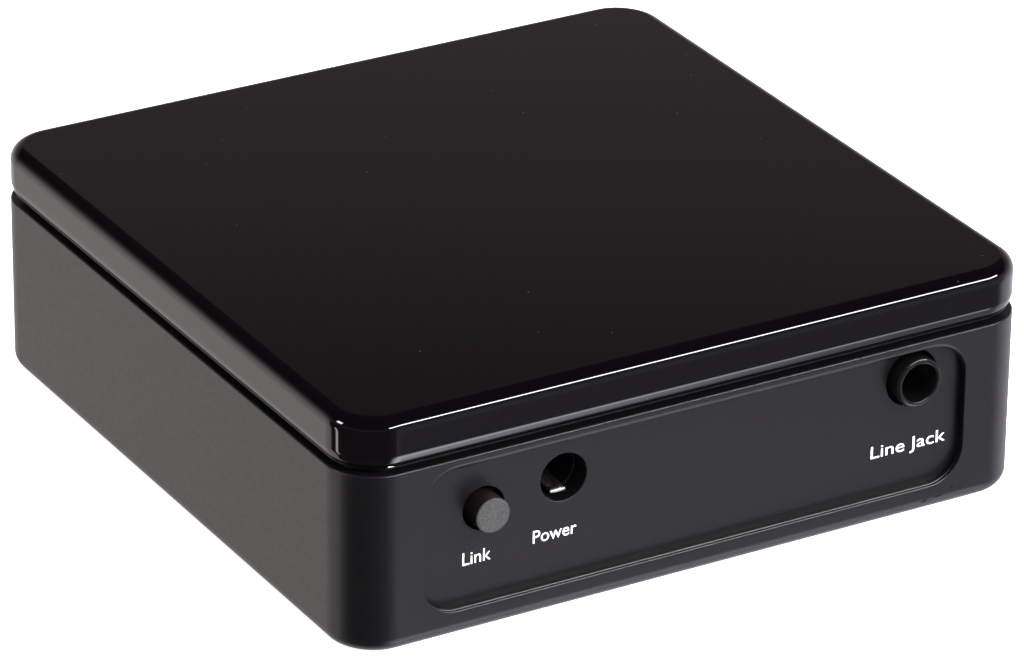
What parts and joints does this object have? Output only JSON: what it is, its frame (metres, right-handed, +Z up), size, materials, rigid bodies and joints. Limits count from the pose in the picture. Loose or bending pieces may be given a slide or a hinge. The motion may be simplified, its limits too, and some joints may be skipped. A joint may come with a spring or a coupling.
{
  "type": "bluetooth audio receiver",
  "caption": "Square two-part black desktop box with a gloss lid, a pairing button, a DC inlet and a stereo audio output in a sunk port panel.",
  "frame": {"origin": "centre of the square case in plan, on the surface that the rubber feet stand on", "axes": "+Z up; the port panel faces -Y; +X is to the right of someone who looks at the ports"},
  "size_m": [0.073, 0.0739, 0.0244],
  "materials": {
    "cover_gloss": "polished black, mirror-like",
    "housing_satin": "satin black with a very fine moulded texture",
    "button_plastic": "grained black",
    "jack_plastic": "smooth black",
    "foot_rubber": "matte black",
    "screw_steel": "zinc plated",
    "spring_metal": "bright tin-plated strip",
    "brass_pin": "plain brass",
    "light_pipe_clear": "clear, polished",
    "label_film": "satin grey film, blank",
    "board_green": "green solder mask",
    "chip_black": "moulded epoxy",
    "can_metal": "satin metal can",
    "ceramic_beige": "fired ceramic",
    "led_body": "white moulding"
  },
  "bodies": {
    "case": {"audio_dac_chip": "chip_black", "audio_jack_body": "jack_plastic", "bluetooth_module": "board_green", "board_screw_1": "screw_steel", "board_screw_2": "screw_steel", "board_screw_3": "screw_steel", "chip_antenna": "ceramic_beige", "chip_capacitor_1": "ceramic_beige", "chip_capacitor_2": "ceramic_beige", "chip_capacitor_3": "ceramic_beige", "chip_capacitor_4": "ceramic_beige", "circuit_board": "board_green", "crystal_oscillator": "can_metal", "dc_centre_pin": "brass_pin", "dc_jack_body": "jack_plastic", "dc_sleeve_spring": "spring_metal", "electrolytic_capacitor_1": "can_metal", "electrolytic_capacitor_2": "can_metal", "electrolytic_capacitor_3": "can_metal", "housing_screw_1": "screw_steel", "housing_screw_2": "screw_steel", "housing_screw_3": "screw_steel", "housing_screw_4": "screw_steel", "jack_ring_spring": "spring_metal", "jack_sleeve_contact": "spring_metal", "jack_tip_spring": "spring_metal", "lower_housing": "housing_satin", "module_shield": "can_metal", "pair_switch_body": "chip_black", "pair_switch_dome": "spring_metal", "pair_switch_frame": "can_metal", "pair_switch_terminal_1": "spring_metal", "pair_switch_terminal_2": "spring_metal", "power_inductor": "chip_black", "rating_label": "label_film", "rubber_foot_1": "foot_rubber", "rubber_foot_2": "foot_rubber", "rubber_foot_3": "foot_rubber", "rubber_foot_4": "foot_rubber", "status_led": "led_body", "status_light_pipe": "light_pipe_clear", "top_cover": "cover_gloss", "voltage_regulator": "chip_black"},
    "button": {"pair_button": "button_plastic"}
  },
  "joints": [
    {"name": "pair_press", "type": "slide", "parent": "case", "child": "button", "axis": [0, 1, 0], "range_m": [0, 0.0003], "stiffness_N_per_m": 5000, "springref_m": -0.0002, "deforming": ["pair_switch_dome"]}
  ]
}
